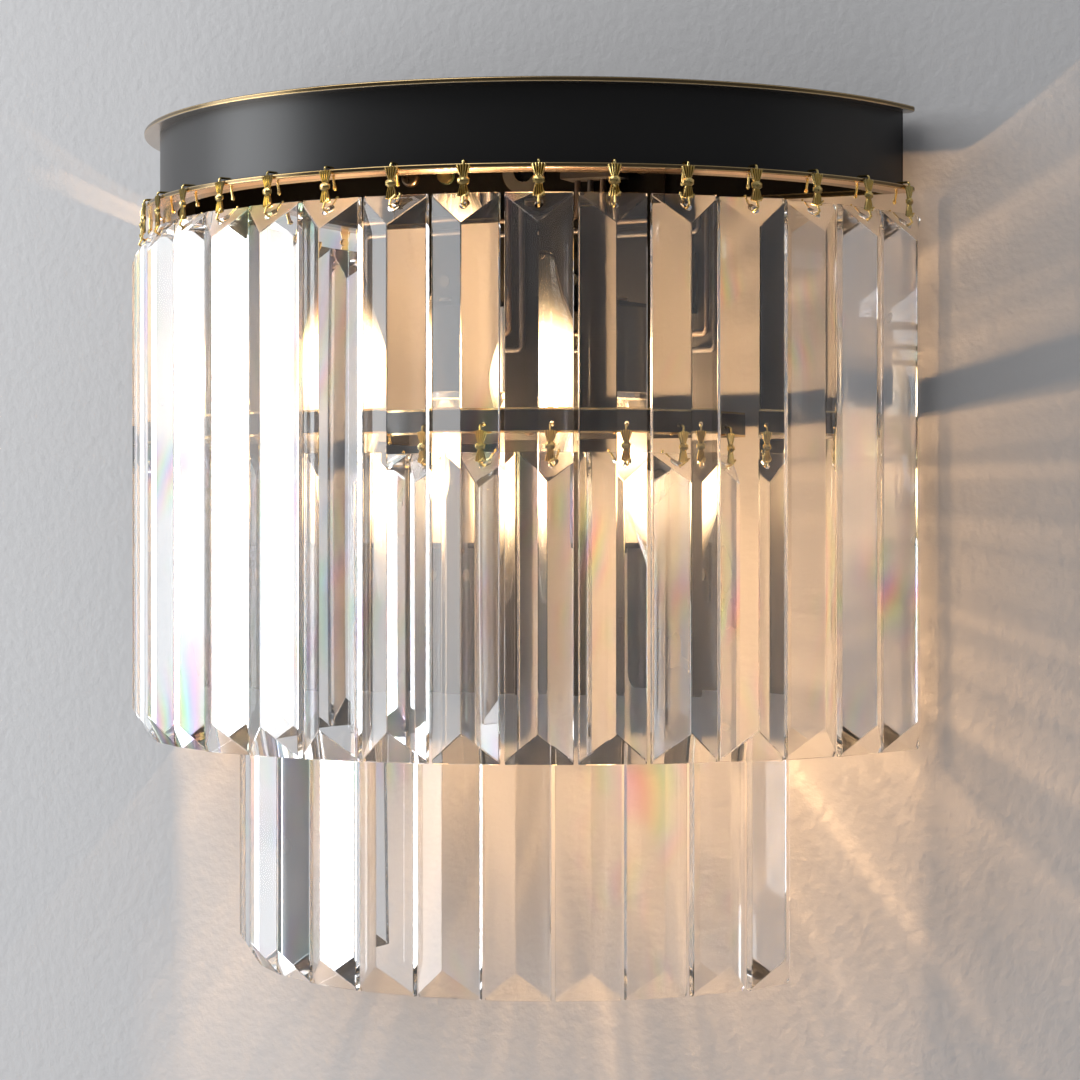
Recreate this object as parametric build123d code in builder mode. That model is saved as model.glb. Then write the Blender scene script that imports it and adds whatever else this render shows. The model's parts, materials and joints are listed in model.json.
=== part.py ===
from build123d import *
import math
import os

os.makedirs("parts", exist_ok=True)

# All sizes in millimetres. The wall is the plane y = 0, the room is towards -Y,
# and z = 0 is the height of the holes in the wall bracket.

# Drum: a flat-backed part circle. Every arc has its centre behind the wall plane.
arc_centre_y = 16.0
plate_radius = 150.0
plate_thickness = 1.8
plate_edge_round = 0.6
plate_corner_round = 4.0
drum_inset = 5.75
drum_radius = plate_radius - drum_inset
drum_height = 25.7
drum_top_z = 12.6
sheet = 1.2
lower_ring_width = 12.0
ring_inner_radius = plate_radius - lower_ring_width

# Wall bracket
bracket_length = 112.0
bracket_height = 20.0
bracket_thickness = 2.0
bracket_corner = 4.0
boss_height = 2.0
boss_radius = 5.0
wall_hole_radius = 2.25
wall_hole_spacing = 60.0

# Back plate that carries the lamps and the inner ring
back_plate_half_width = 55.0
back_plate_bottom_z = -190.5
back_plate_thickness = 1.5
back_plate_top_gap = 0.6
back_plate_corner = 6.0

# Screws that hold the drum to the bracket
screw_x = 46.6
screw_shank_radius = 1.95
screw_thread_clearance = 0.05
screw_hole_clearance = 0.35
screw_head_radius = 3.5
screw_head_height = 2.4
screw_slot_width = 0.9
screw_slot_depth = 1.2

# Cable entry
cable_hole_radius = 7.0
cable_bore_radius = 4.0
grommet_flange = 1.5
grommet_lip = 1.5
bracket_cable_gap = 1.0

# Inner ring
inner_ring_share = 0.74
inner_ring_radius = inner_ring_share * plate_radius
inner_ring_top_z = -90.0
inner_ring_height = 8.5
inner_hole_above_edge = 3.0
bar_screw_x = 40.0
bar_screw_radius = 1.5
bar_screw_head_radius = 2.8
bar_screw_head_height = 1.6
bar_screw_tail = 2.0

# Crystal drops. Their width follows from the pitch of the outer tier and the gap between them.
outer_count = 18
outer_half_span = 78.7
outer_drop_inset = 4.4
outer_back_radius = plate_radius - outer_drop_inset
outer_pitch = math.radians(2 * outer_half_span / (outer_count - 1))
drop_gap = 1.33
drop_width = outer_back_radius * outer_pitch - drop_gap
drop_length = 184.0
drop_depth = 9.0
drop_rim = 2.5
drop_end_rim = 1.8
drop_hip_height = 10.3
drop_edge_chamfer = 0.2
drop_hole_radius = 1.35
drop_hole_below_top = 4.3

outer_top_z = -22.5
# Small turns of the single drops about their clips, in degrees, from left to right.
outer_turns = (0, 0, 0, 0, 0, 0, 5, 1, -1, 0, 0, -0.6, 0.5, -1, -11, 3, 3, -5)

inner_count = 12
inner_drop_inset = 4.4
inner_back_radius = inner_ring_radius - inner_drop_inset
inner_drop_gap = 1.058
inner_pitch = (drop_width + inner_drop_gap) / inner_back_radius
inner_half_span = math.degrees(inner_pitch) * (inner_count - 1) / 2
inner_top_z = -104.75
inner_turns = (0, 0, 0, 0, 0, 0, 0, 0, -2, 3, 4, 6)

# Clips: a stamped bow-tie on a bent wire
wire_radius = 0.4
hook_radius = 5.4
hook_above_drop = 0.7
clip_height = 11.0
clip_thickness = 0.9
bead_below_top = 5.4
bead_radius = 1.75
teardrop_radius = 0.7
clip_hole_radius = 0.9
outer_clip_top = 8.3
outer_clip_out = 2.2
outer_leg_in = 2.8
inner_clip_top = 6.6
inner_clip_out = 2.9
inner_leg_in = 1.6

# Lamps: candle bulbs with a 14 mm screw cap
lamp_y = -35.0
upper_lamp_x = -16.0
upper_lamp_contact_z = -130.5
lower_lamp_x = 16.0
lower_lamp_contact_z = -57.5
cap_length = 27.0
cap_thread_radius = 6.9
cap_thread_start = 5.0
cap_thread_end = 22.0
cap_collar_radius = 10.6
cap_button_radius = 2.5
cap_button_height = 1.5
thread_pitch = 2.82
thread_depth = 0.6
bulb_length = 100.0
bulb_radius = 17.5
bulb_neck_radius = 10.0
glass_thickness = 0.9
stem_radius = 4.0
stem_tip_radius = 1.6
stem_height = 42.0
stem_taper_below = 6.0
shoulder_below_tip = 5.5
stick_bottom = 43.5
stick_top = 69.5
stick_radius = 0.8
stick_circle = 4.6
support_radius = 0.3

# Lamp holders
holder_radius = 13.0
holder_below_contact = 5.0
holder_above_contact = 25.0
holder_counterbore = 21.0
holder_counterbore_radius = 11.2
sleeve_thickness = 0.4
sleeve_gap = 0.3
holder_seat_gap = 0.05
contact_disc_thickness = 1.2

# Arms, rivets and the screws under the holders
arm_width = 16.0
arm_thickness = 2.0
arm_foot = 20.0
arm_beyond_axis = 10.0
rivet_spacing = 8.0
rivet_radius = 1.4
rivet_head_radius = 2.2
rivet_head_height = 1.0
holder_screw_radius = 1.5
holder_screw_head_radius = 2.8
holder_screw_head_height = 1.8
holder_screw_depth = 3.0

# Wiring
wire_sheath_radius = 1.1
wire_hole_radius = 1.4
wire_bend = 2.4
block_x = 30.0
block_width = 22.0
block_bottom_z = -5.0
block_height = 14.0
block_depth = 11.0
block_pitch = 5.0
block_screw_radius = 1.3
block_screw_length = 3.5
wire_run_drop = 13.0
wire_end_gap = 0.4
entry_low = 2.5
entry_high = 8.5
entry_side = 4.0
entry_depth = 3.0
earth_x = -32.0
earth_screw_radius = 1.5
earth_head_radius = 2.8
earth_head_height = 1.6
lug_radius = 3.3
lug_thickness = 0.8

# Levels that follow from the sizes above
ring_top_z = drum_top_z - drum_height
ring_bottom_z = ring_top_z - plate_thickness
drum_back_y = -(bracket_thickness + boss_height)
back_wall_front_y = drum_back_y - sheet
plate_front_y = back_wall_front_y - back_plate_thickness
bar_front_y = plate_front_y - sheet
inner_ring_bottom_z = inner_ring_top_z - inner_ring_height
wiring_y = plate_front_y - 3.3


def save(piece, name):
    piece.part.label = name
    export_step(piece.part, f"parts/{name}.step")


def pin_angles(count, half_span):
    pitch = 2 * half_span / (count - 1)
    return [-half_span + pitch * i for i in range(count)]


def on_arc(radius, angle, z, turn=0.0):
    a = math.radians(angle)
    spot = Pos(radius * math.sin(a), arc_centre_y - radius * math.cos(a), z)
    return spot * Rot(0, 0, angle + turn)


def segment(radius, back_y, mode=Mode.ADD):
    """A circle about the arc centre, kept only in front of the line y = back_y."""
    with BuildSketch(mode=Mode.PRIVATE) as shape:
        with Locations((0, arc_centre_y)):
            Circle(radius)
        with Locations((0, back_y)):
            Rectangle(4 * radius, 4 * radius, align=(Align.CENTER, Align.MIN), mode=Mode.SUBTRACT)
    add(shape.sketch, mode=mode)


def round_plate_edge(piece):
    """Rounds the upright corners, then the outer rim, of a plate or ring."""
    corners = piece.edges().filter_by(Axis.Z)
    outer = [e for e in corners if abs(e.center().X) > ring_inner_radius + plate_corner_round]
    fillet(outer, plate_corner_round)
    arcs = piece.edges().filter_by(GeomType.CIRCLE)
    rims = [e for e in arcs if abs(e.radius - plate_radius) < 0.01]
    fillet(rims, plate_edge_round)


def cross_slot(x, face_y):
    """A cross recess in a screw head, cut from the front face inwards."""
    with BuildSketch(Plane.XZ.offset(-face_y), mode=Mode.PRIVATE) as cross:
        with Locations((x, 0)):
            Rectangle(screw_slot_width, screw_head_radius * 1.2)
            Rectangle(screw_head_radius * 1.2, screw_slot_width)
    extrude(cross.sketch, amount=-screw_slot_depth, mode=Mode.SUBTRACT)


def rod(x, z, radius, y_near, y_far, mode=Mode.ADD):
    """A round bar along Y between two y positions."""
    low, high = sorted((y_near, y_far))
    with BuildSketch(Plane.XZ.offset(-high), mode=Mode.PRIVATE) as end:
        with Locations((x, z)):
            Circle(radius)
    extrude(end.sketch, amount=high - low, mode=mode)


def sweep_wire(path, radius):
    with BuildSketch(Plane(origin=path @ 0, z_dir=path % 0), mode=Mode.PRIVATE) as end:
        Circle(radius)
    sweep(end.sketch, path=path)


def bent_wire(points, radius, bend):
    """A round wire along straight runs joined by tangent arcs."""
    with BuildLine(mode=Mode.PRIVATE) as path:
        FilletPolyline(*points, radius=bend)
    sweep_wire(path.line, radius)


# ---------------------------------------------------------------- wall bracket
with BuildPart() as wall_bracket:
    with BuildSketch(Plane.XZ):
        RectangleRounded(bracket_length, bracket_height, bracket_corner)
    extrude(amount=bracket_thickness)
    for x in (-screw_x, screw_x):
        rod(x, 0, boss_radius, -bracket_thickness, drum_back_y)
    for x in (-screw_x, screw_x):
        rod(x, 0, screw_shank_radius + screw_thread_clearance, 1, drum_back_y - 1, Mode.SUBTRACT)
    for x in (-wall_hole_spacing / 2, wall_hole_spacing / 2):
        rod(x, 0, wall_hole_radius, 1, drum_back_y - 1, Mode.SUBTRACT)
    cable_clear = cable_hole_radius + grommet_lip + bracket_cable_gap
    rod(0, 0, cable_clear, 1, drum_back_y - 1, Mode.SUBTRACT)
save(wall_bracket, "wall_bracket")

# ---------------------------------------------------------------- drum
with BuildPart() as top_plate:
    with BuildSketch(Plane.XY.offset(drum_top_z)):
        segment(plate_radius, drum_back_y)
    extrude(amount=plate_thickness)
    round_plate_edge(top_plate)
save(top_plate, "top_plate")

with BuildPart() as drum_band:
    with BuildSketch(Plane.XY.offset(ring_top_z)):
        segment(drum_radius, back_wall_front_y)
        segment(drum_radius - sheet, back_wall_front_y + sheet, mode=Mode.SUBTRACT)
    extrude(amount=drum_height)
save(drum_band, "drum_band")

drum_back_half = math.sqrt(drum_radius**2 - (arc_centre_y - back_wall_front_y) ** 2)
with BuildPart() as drum_back:
    with BuildSketch(Plane.XZ.offset(-drum_back_y)):
        with Locations((0, drum_top_z - drum_height / 2)):
            Rectangle(2 * drum_back_half, drum_height)
    extrude(amount=sheet)
    for x in (-screw_x, screw_x):
        rod(x, 0, screw_shank_radius + screw_hole_clearance, 0, plate_front_y, Mode.SUBTRACT)
    rod(0, 0, cable_hole_radius, 0, plate_front_y, Mode.SUBTRACT)
save(drum_back, "drum_back")


# ---------------------------------------------------------------- crystal drop
with BuildPart() as drop:
    with BuildSketch(Plane.XY):
        with BuildLine():
            Polyline(
                (-drop_width / 2, 0),
                (drop_width / 2, 0),
                (drop_width / 2, -drop_rim),
                (0, -drop_depth),
                (-drop_width / 2, -drop_rim),
                close=True,
            )
        make_face()
    extrude(amount=-drop_length)
    with BuildSketch(Plane.YZ):
        with BuildLine():
            Polyline(
                (0, 0),
                (-drop_end_rim, 0),
                (-drop_depth, -drop_hip_height),
                (-drop_depth, drop_hip_height - drop_length),
                (-drop_end_rim, -drop_length),
                (0, -drop_length),
                close=True,
            )
        make_face()
    extrude(amount=drop_width, both=True, mode=Mode.INTERSECT)
    chamfer(drop.edges(), drop_edge_chamfer)
    rod(0, -drop_hole_below_top, drop_hole_radius, 1, -drop_depth - 1, Mode.SUBTRACT)

# The hook's centre is straight above the drop's centre of mass, so the drop hangs plumb.
hang_depth = -drop.part.center(CenterOf.MASS).Y
outer_hook_radius = outer_back_radius + hang_depth
inner_hook_radius = inner_back_radius + hang_depth
outer_angles = pin_angles(outer_count, outer_half_span)
inner_angles = pin_angles(inner_count, inner_half_span)


def hang_drop(name, radius, angle, turn, top_z):
    with BuildPart() as piece:
        with Locations(on_arc(radius, angle, top_z, turn) * Pos(0, hang_depth, 0)):
            add(drop.part)
    save(piece, name)


for i in range(outer_count):
    hang_drop(f"outer_drop_{i + 1:02d}", outer_hook_radius, outer_angles[i], outer_turns[i], outer_top_z)
for i in range(inner_count):
    hang_drop(f"inner_drop_{i + 1:02d}", inner_hook_radius, inner_angles[i], inner_turns[i], inner_top_z)

# ---------------------------------------------------------------- lower ring
with BuildPart() as lower_ring:
    with BuildSketch(Plane.XY.offset(ring_bottom_z)):
        segment(plate_radius, drum_back_y)
        segment(ring_inner_radius, back_wall_front_y, mode=Mode.SUBTRACT)
    extrude(amount=plate_thickness)
    round_plate_edge(lower_ring)
    with BuildSketch(Plane.XY.offset(ring_bottom_z)):
        with Locations(*[on_arc(outer_hook_radius - outer_leg_in, a, 0) for a in outer_angles]):
            Circle(clip_hole_radius)
    extrude(amount=plate_thickness, mode=Mode.SUBTRACT)
save(lower_ring, "lower_ring")

# ---------------------------------------------------------------- inner ring
with BuildPart() as inner_ring_band:
    with BuildSketch(Plane.XY.offset(inner_ring_bottom_z)):
        segment(inner_ring_radius, bar_front_y)
        segment(inner_ring_radius - sheet, bar_front_y + sheet, mode=Mode.SUBTRACT)
    extrude(amount=inner_ring_height)
    for angle in inner_angles:
        spot = on_arc(inner_ring_radius, angle, inner_ring_bottom_z + inner_hole_above_edge)
        with Locations(spot * Rot(90, 0, 0)):
            Cylinder(clip_hole_radius, 4 * sheet, mode=Mode.SUBTRACT)
save(inner_ring_band, "inner_ring_band")

bar_half = math.sqrt(inner_ring_radius**2 - (arc_centre_y - bar_front_y) ** 2)
bar_middle_z = inner_ring_top_z - inner_ring_height / 2
with BuildPart() as inner_back_bar:
    with BuildSketch(Plane.XZ.offset(-plate_front_y)):
        with Locations((0, bar_middle_z)):
            Rectangle(2 * bar_half, inner_ring_height)
    extrude(amount=sheet)
    for x in (-bar_screw_x, bar_screw_x):
        rod(x, bar_middle_z, bar_screw_radius + screw_thread_clearance, 0, 2 * bar_front_y, Mode.SUBTRACT)
save(inner_back_bar, "inner_back_bar")

with BuildPart() as bar_screws:
    for x in (-bar_screw_x, bar_screw_x):
        rod(x, bar_middle_z, bar_screw_radius, bar_front_y, back_wall_front_y + bar_screw_tail)
        rod(x, bar_middle_z, bar_screw_head_radius, bar_front_y, bar_front_y - bar_screw_head_height)
save(bar_screws, "bar_screws")


# ---------------------------------------------------------------- lamp arms
def arm(lamp_x, seat_z, away):
    """An angle strip: one leg under the lamp holder, one on the back plate.

    away is -1 where the foot goes down from the seat and +1 where it goes up.
    """
    with BuildSketch(Plane.YZ.offset(lamp_x), mode=Mode.PRIVATE) as side:
        with BuildLine():
            Polyline(
                (plate_front_y, seat_z),
                (lamp_y - arm_beyond_axis, seat_z),
                (lamp_y - arm_beyond_axis, seat_z + away * arm_thickness),
                (plate_front_y - arm_thickness, seat_z + away * arm_thickness),
                (plate_front_y - arm_thickness, seat_z + away * (arm_thickness + arm_foot)),
                (plate_front_y, seat_z + away * (arm_thickness + arm_foot)),
                close=True,
            )
        make_face()
    extrude(side.sketch, amount=arm_width / 2, both=True)
    for spot_x in (lamp_x - rivet_spacing / 2, lamp_x + rivet_spacing / 2):
        rod(spot_x, rivet_z(seat_z, away), rivet_radius, 0, plate_front_y - 2 * arm_thickness, Mode.SUBTRACT)
    with Locations((lamp_x, lamp_y, seat_z)):
        Cylinder(holder_screw_radius + screw_thread_clearance, 4 * arm_thickness, mode=Mode.SUBTRACT)


def rivet_z(seat_z, away):
    return seat_z + away * (arm_thickness + arm_foot / 2)


upper_seat_z = upper_lamp_contact_z - holder_below_contact
lower_seat_z = lower_lamp_contact_z + holder_below_contact

with BuildPart() as upper_lamp_arm:
    arm(upper_lamp_x, upper_seat_z, -1)
save(upper_lamp_arm, "upper_lamp_arm")

with BuildPart() as lower_lamp_arm:
    arm(lower_lamp_x, lower_seat_z, 1)
save(lower_lamp_arm, "lower_lamp_arm")

rivet_spots = []
for lamp_x, seat_z, away in ((upper_lamp_x, upper_seat_z, -1), (lower_lamp_x, lower_seat_z, 1)):
    for side in (-1, 1):
        rivet_spots.append((lamp_x + side * rivet_spacing / 2, rivet_z(seat_z, away)))

with BuildPart() as arm_rivets:
    arm_face_y = plate_front_y - arm_thickness
    for x, z in rivet_spots:
        rod(x, z, rivet_radius, back_wall_front_y, arm_face_y)
        rod(x, z, rivet_head_radius, arm_face_y, arm_face_y - rivet_head_height)
        rod(x, z, rivet_head_radius, back_wall_front_y, back_wall_front_y + rivet_head_height)
save(arm_rivets, "arm_rivets")

# ---------------------------------------------------------------- back plate
with BuildPart() as back_plate:
    plate_top_z = drum_top_z - back_plate_top_gap
    with BuildSketch(Plane.XZ.offset(-back_wall_front_y)):
        with Locations((0, (plate_top_z + back_plate_bottom_z) / 2)):
            RectangleRounded(
                2 * back_plate_half_width, plate_top_z - back_plate_bottom_z, back_plate_corner
            )
    extrude(amount=back_plate_thickness)
    for x in (-screw_x, screw_x):
        rod(x, 0, screw_shank_radius + screw_hole_clearance, 0, 2 * plate_front_y, Mode.SUBTRACT)
    rod(0, 0, cable_hole_radius, 0, 2 * plate_front_y, Mode.SUBTRACT)
    for x in (-bar_screw_x, bar_screw_x):
        rod(x, bar_middle_z, bar_screw_radius, 0, 2 * plate_front_y, Mode.SUBTRACT)
    for x, z in rivet_spots:
        rod(x, z, rivet_radius, 0, 2 * plate_front_y, Mode.SUBTRACT)
    rod(earth_x, 0, earth_screw_radius, 0, 2 * plate_front_y, Mode.SUBTRACT)
save(back_plate, "back_plate")

with BuildPart() as fixing_screws:
    head_y = plate_front_y - screw_head_height
    for x in (-screw_x, screw_x):
        rod(x, 0, screw_shank_radius, plate_front_y, -bracket_thickness / 4)
        rod(x, 0, screw_head_radius, plate_front_y, head_y)
    rims = fixing_screws.edges().filter_by(GeomType.CIRCLE)
    fillet([e for e in rims if abs(e.center().Y - head_y) < 0.01], screw_head_height / 2)
    for x in (-screw_x, screw_x):
        cross_slot(x, head_y)
save(fixing_screws, "fixing_screws")

with BuildPart() as cable_grommet:
    lip_radius = cable_hole_radius + grommet_lip
    rod(0, 0, cable_hole_radius, drum_back_y, plate_front_y)
    rod(0, 0, lip_radius, drum_back_y, drum_back_y + grommet_flange)
    rod(0, 0, lip_radius, plate_front_y, plate_front_y - grommet_flange)
    rod(0, 0, cable_bore_radius, 1, 2 * plate_front_y, Mode.SUBTRACT)
save(cable_grommet, "cable_grommet")


# ---------------------------------------------------------------- clips
def clip_half_outline():
    """Half of the bow-tie, as distance from the middle and distance below the top."""
    return (
        (1.3, 0.1),
        (2.3, 0.9),
        (1.05, 3.9),
        (1.9, 4.75),
        (1.9, 6.05),
        (1.1, 6.9),
        (2.15, 9.1),
        (1.3, 10.3),
    )


def straight_wire(start, end):
    with BuildLine(mode=Mode.PRIVATE) as path:
        Line(start, end)
    sweep_wire(path.line, wire_radius)


def clip_body(top, out):
    """The stamped bow-tie with its bead, standing out from the hook's centre by out."""
    right = [(x, top - h) for x, h in clip_half_outline()]
    left = [(-x, z) for x, z in reversed(right)]
    with BuildSketch(Plane.XZ.offset(out - clip_thickness / 2), mode=Mode.PRIVATE) as face:
        with BuildLine():
            Polyline((0, top), *right, (0, top - clip_height), *left, close=True)
        make_face()
    extrude(face.sketch, amount=clip_thickness)
    with Locations((0, -out, top - bead_below_top)):
        Sphere(bead_radius)


def clip_hook(top, out):
    """The lower wire: an arc about the hook's centre, through the hole in the drop."""
    front = math.radians(38)
    back = math.radians(-95)
    low = hook_radius

    def spot(a):
        return (0, -low * math.sin(a), -low * math.cos(a))

    with BuildLine(mode=Mode.PRIVATE) as path:
        ThreePointArc(spot(front), spot((front + back) / 2), spot(back))
    sweep_wire(path.line, wire_radius)
    with Locations(spot(front), spot(back)):
        Sphere(wire_radius)
    straight_wire(spot(front), (0, -out, top - clip_height + 1.0))


with BuildPart() as outer_clip:
    clip_body(outer_clip_top, outer_clip_out)
    clip_hook(outer_clip_top, outer_clip_out)
    over_z = ring_top_z - (outer_top_z + hook_above_drop) + 2 * wire_radius
    leg_end_z = outer_clip_top - bead_below_top
    bent_wire(
        (
            (0, -outer_clip_out, outer_clip_top - 1.0),
            (0, -outer_clip_out, over_z),
            (0, outer_leg_in, over_z),
            (0, outer_leg_in, leg_end_z),
        ),
        wire_radius,
        2 * wire_radius,
    )
    with Locations((0, outer_leg_in, leg_end_z)):
        Sphere(teardrop_radius)

with BuildPart() as inner_clip:
    clip_body(inner_clip_top, inner_clip_out)
    clip_hook(inner_clip_top, inner_clip_out)
    through_z = inner_ring_bottom_z + inner_hole_above_edge - (inner_top_z + hook_above_drop)
    bent_wire(
        (
            (0, -inner_clip_out, inner_clip_top - 1.0),
            (0, -inner_clip_out, through_z),
            (0, inner_leg_in, through_z),
            (0, inner_leg_in, inner_clip_top - 1.0),
        ),
        wire_radius,
        2 * wire_radius,
    )
    with Locations((0, inner_leg_in, inner_clip_top - 1.0)):
        Sphere(teardrop_radius)

with BuildPart() as outer_clips:
    hook_z = outer_top_z + hook_above_drop
    with Locations(*[on_arc(outer_hook_radius, a, hook_z) for a in outer_angles]):
        add(outer_clip.part)
save(outer_clips, "outer_clips")

with BuildPart() as inner_clips:
    hook_z = inner_top_z + hook_above_drop
    with Locations(*[on_arc(inner_hook_radius, a, hook_z) for a in inner_angles]):
        add(inner_clip.part)
save(inner_clips, "inner_clips")

# ---------------------------------------------------------------- lamps
# The lamp pieces are drawn standing up on their contact, then placed up or down.
upright = Pos(upper_lamp_x, lamp_y, upper_lamp_contact_z)
inverted = Pos(lower_lamp_x, lamp_y, lower_lamp_contact_z) * Rot(180, 0, 0)


def bulb_profile(inset):
    """The outside of the glass, or its inside where inset is the wall thickness."""
    waist = cap_length + 0.38 * (bulb_length - cap_length)
    neck = (bulb_neck_radius - inset, cap_length)
    shoulder = (0.27 * bulb_radius - inset / 2, bulb_length - shoulder_below_tip - inset)
    tip = (0, bulb_length - inset)
    with BuildLine(mode=Mode.PRIVATE) as outline:
        Spline(neck, (bulb_radius - inset, waist), shoulder, tip, tangents=((0.45, 1), (-1, 0)))
        Polyline(tip, (0, cap_length), neck)
    make_face(outline.edges())


with BuildPart() as bulb_glass:
    with BuildSketch(Plane.XZ):
        bulb_profile(0)
    revolve(axis=Axis.Z)
    with BuildSketch(Plane.XZ):
        bulb_profile(glass_thickness)
    revolve(axis=Axis.Z, mode=Mode.SUBTRACT)

with BuildPart() as bulb_cap:
    with BuildSketch(Plane.XZ):
        with BuildLine():
            Polyline(
                (0, 0),
                (cap_button_radius, 0),
                (cap_button_radius, cap_button_height),
                (cap_thread_radius - thread_depth, cap_thread_start),
                (cap_thread_radius - thread_depth, cap_thread_end),
                (cap_collar_radius, cap_thread_end + thread_pitch),
                (cap_collar_radius, cap_length),
                (0, cap_length),
                close=True,
            )
        make_face()
    revolve(axis=Axis.Z)
    turns = int((cap_thread_end - cap_thread_start) / thread_pitch)
    with BuildSketch(Plane.XZ):
        for i in range(turns):
            with Locations((cap_thread_radius - thread_depth, cap_thread_start + (i + 0.6) * thread_pitch)):
                Circle(thread_depth)
    revolve(axis=Axis.Z)

with BuildPart() as bulb_filament:
    with BuildSketch(Plane.XZ):
        with BuildLine():
            Polyline(
                (0, cap_length),
                (stem_radius, cap_length),
                (stem_tip_radius, stem_height - stem_taper_below),
                (stem_tip_radius, stem_height),
                (0, stem_height),
                close=True,
            )
        make_face()
    revolve(axis=Axis.Z)
    with Locations((0, 0, stem_height - 1)):
        Cylinder(
            support_radius,
            stick_top - stem_height + 1,
            align=(Align.CENTER, Align.CENTER, Align.MIN),
        )
    with PolarLocations(0, 4, start_angle=45):
        with Locations((stick_circle, 0, (stick_bottom + stick_top) / 2)):
            Cylinder(stick_radius, stick_top - stick_bottom)
        for z in (stick_bottom + stick_radius, stick_top - stick_radius):
            with Locations(Pos(stick_circle / 2, 0, z) * Rot(0, 90, 0)):
                Cylinder(support_radius, stick_circle)

sleeve_inner = cap_thread_radius + sleeve_gap
sleeve_outer = sleeve_inner + sleeve_thickness
with BuildPart() as holder_body:
    with Locations((0, 0, -holder_below_contact)):
        Cylinder(
            holder_radius,
            holder_below_contact + holder_above_contact,
            align=(Align.CENTER, Align.CENTER, Align.MIN),
        )
    with Locations((0, 0, -contact_disc_thickness)):
        Cylinder(
            sleeve_outer + holder_seat_gap,
            2 * holder_above_contact,
            align=(Align.CENTER, Align.CENTER, Align.MIN),
            mode=Mode.SUBTRACT,
        )
    with Locations((0, 0, holder_counterbore)):
        Cylinder(
            holder_counterbore_radius,
            holder_above_contact,
            align=(Align.CENTER, Align.CENTER, Align.MIN),
            mode=Mode.SUBTRACT,
        )
    with Locations((0, 0, -holder_below_contact)):
        Cylinder(
            holder_screw_radius + screw_thread_clearance,
            holder_screw_depth,
            align=(Align.CENTER, Align.CENTER, Align.MIN),
            mode=Mode.SUBTRACT,
        )

with BuildPart() as holder_contacts:
    with BuildSketch(Plane.XY.offset(cap_thread_start)):
        Circle(sleeve_outer)
        Circle(sleeve_inner, mode=Mode.SUBTRACT)
    extrude(amount=holder_counterbore - cap_thread_start)
    with Locations((0, 0, -contact_disc_thickness)):
        Cylinder(
            cap_button_radius,
            contact_disc_thickness,
            align=(Align.CENTER, Align.CENTER, Align.MIN),
        )

# Wire entries: two holes in the side of each holder that faces the wall.
upper_entries = (
    (upper_lamp_x - entry_low, upper_lamp_contact_z + entry_high),
    (upper_lamp_x + entry_low, upper_lamp_contact_z + entry_low),
)
lower_entries = (
    (lower_lamp_x + entry_side, lower_lamp_contact_z - entry_low),
    (lower_lamp_x + entry_side, lower_lamp_contact_z - entry_high),
)
entry_end_y = lamp_y + holder_radius - entry_depth


def holder(name, place, entries):
    with BuildPart() as piece:
        with Locations(place):
            add(holder_body.part)
        for x, z in entries:
            rod(x, z, wire_hole_radius, entry_end_y - 0.3, lamp_y + holder_radius + 1, Mode.SUBTRACT)
    save(piece, name)


def both_lamps(name, shape):
    with BuildPart() as piece:
        with Locations(upright, inverted):
            add(shape.part)
    save(piece, name)


def one_lamp(name, shape, place):
    with BuildPart() as piece:
        with Locations(place):
            add(shape.part)
    save(piece, name)


holder("upper_lamp_holder", upright, upper_entries)
holder("lower_lamp_holder", inverted, lower_entries)
one_lamp("upper_bulb_glass", bulb_glass, upright)
one_lamp("lower_bulb_glass", bulb_glass, inverted)
both_lamps("bulb_caps", bulb_cap)
both_lamps("bulb_filaments", bulb_filament)
both_lamps("holder_contacts", holder_contacts)

with BuildPart() as holder_screws:
    screw_length = arm_thickness + holder_screw_depth - 0.4
    for place in (upright, inverted):
        with Locations(place * Pos(0, 0, -holder_below_contact - arm_thickness)):
            Cylinder(
                holder_screw_radius,
                screw_length,
                align=(Align.CENTER, Align.CENTER, Align.MIN),
            )
            Cylinder(
                holder_screw_head_radius,
                holder_screw_head_height,
                align=(Align.CENTER, Align.CENTER, Align.MAX),
            )
save(holder_screws, "holder_screws")

# ---------------------------------------------------------------- wiring
block_slots = [block_x + block_pitch * (i - 1.5) for i in range(4)]
earth_slot_x = block_slots[0]
slot_depth = 3.0

with BuildPart() as terminal_block:
    with Locations((block_x, plate_front_y - block_depth / 2, block_bottom_z + block_height / 2)):
        Box(block_width, block_depth, block_height)
    for x in block_slots:
        with Locations((x, wiring_y, block_bottom_z)):
            Cylinder(wire_hole_radius, 2 * slot_depth, mode=Mode.SUBTRACT)
        screw_mid_z = block_bottom_z + block_height / 2
        hole_end_y = plate_front_y - 2 * block_depth
        rod(x, screw_mid_z, block_screw_radius, plate_front_y - block_depth / 2, hole_end_y, Mode.SUBTRACT)
    with Locations((earth_slot_x, wiring_y, block_bottom_z + block_height)):
        Cylinder(wire_hole_radius, 2 * slot_depth, mode=Mode.SUBTRACT)
save(terminal_block, "terminal_block")

with BuildPart() as terminal_screws:
    for x in block_slots:
        tip_y = plate_front_y - block_depth / 2
        mid_z = block_bottom_z + block_height / 2
        rod(x, mid_z, block_screw_radius, tip_y, tip_y - block_screw_length)
save(terminal_screws, "terminal_screws")

wire_start_z = block_bottom_z + slot_depth - wire_end_gap
upper_run_z = block_bottom_z - wire_run_drop
lower_run_z = upper_run_z - block_pitch


def lamp_wire(slot_x, run_z, entry):
    x, z = entry
    return (
        (slot_x, wiring_y, wire_start_z),
        (slot_x, wiring_y, run_z),
        (x, wiring_y, run_z),
        (x, wiring_y, z),
        (x, entry_end_y, z),
    )


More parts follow.
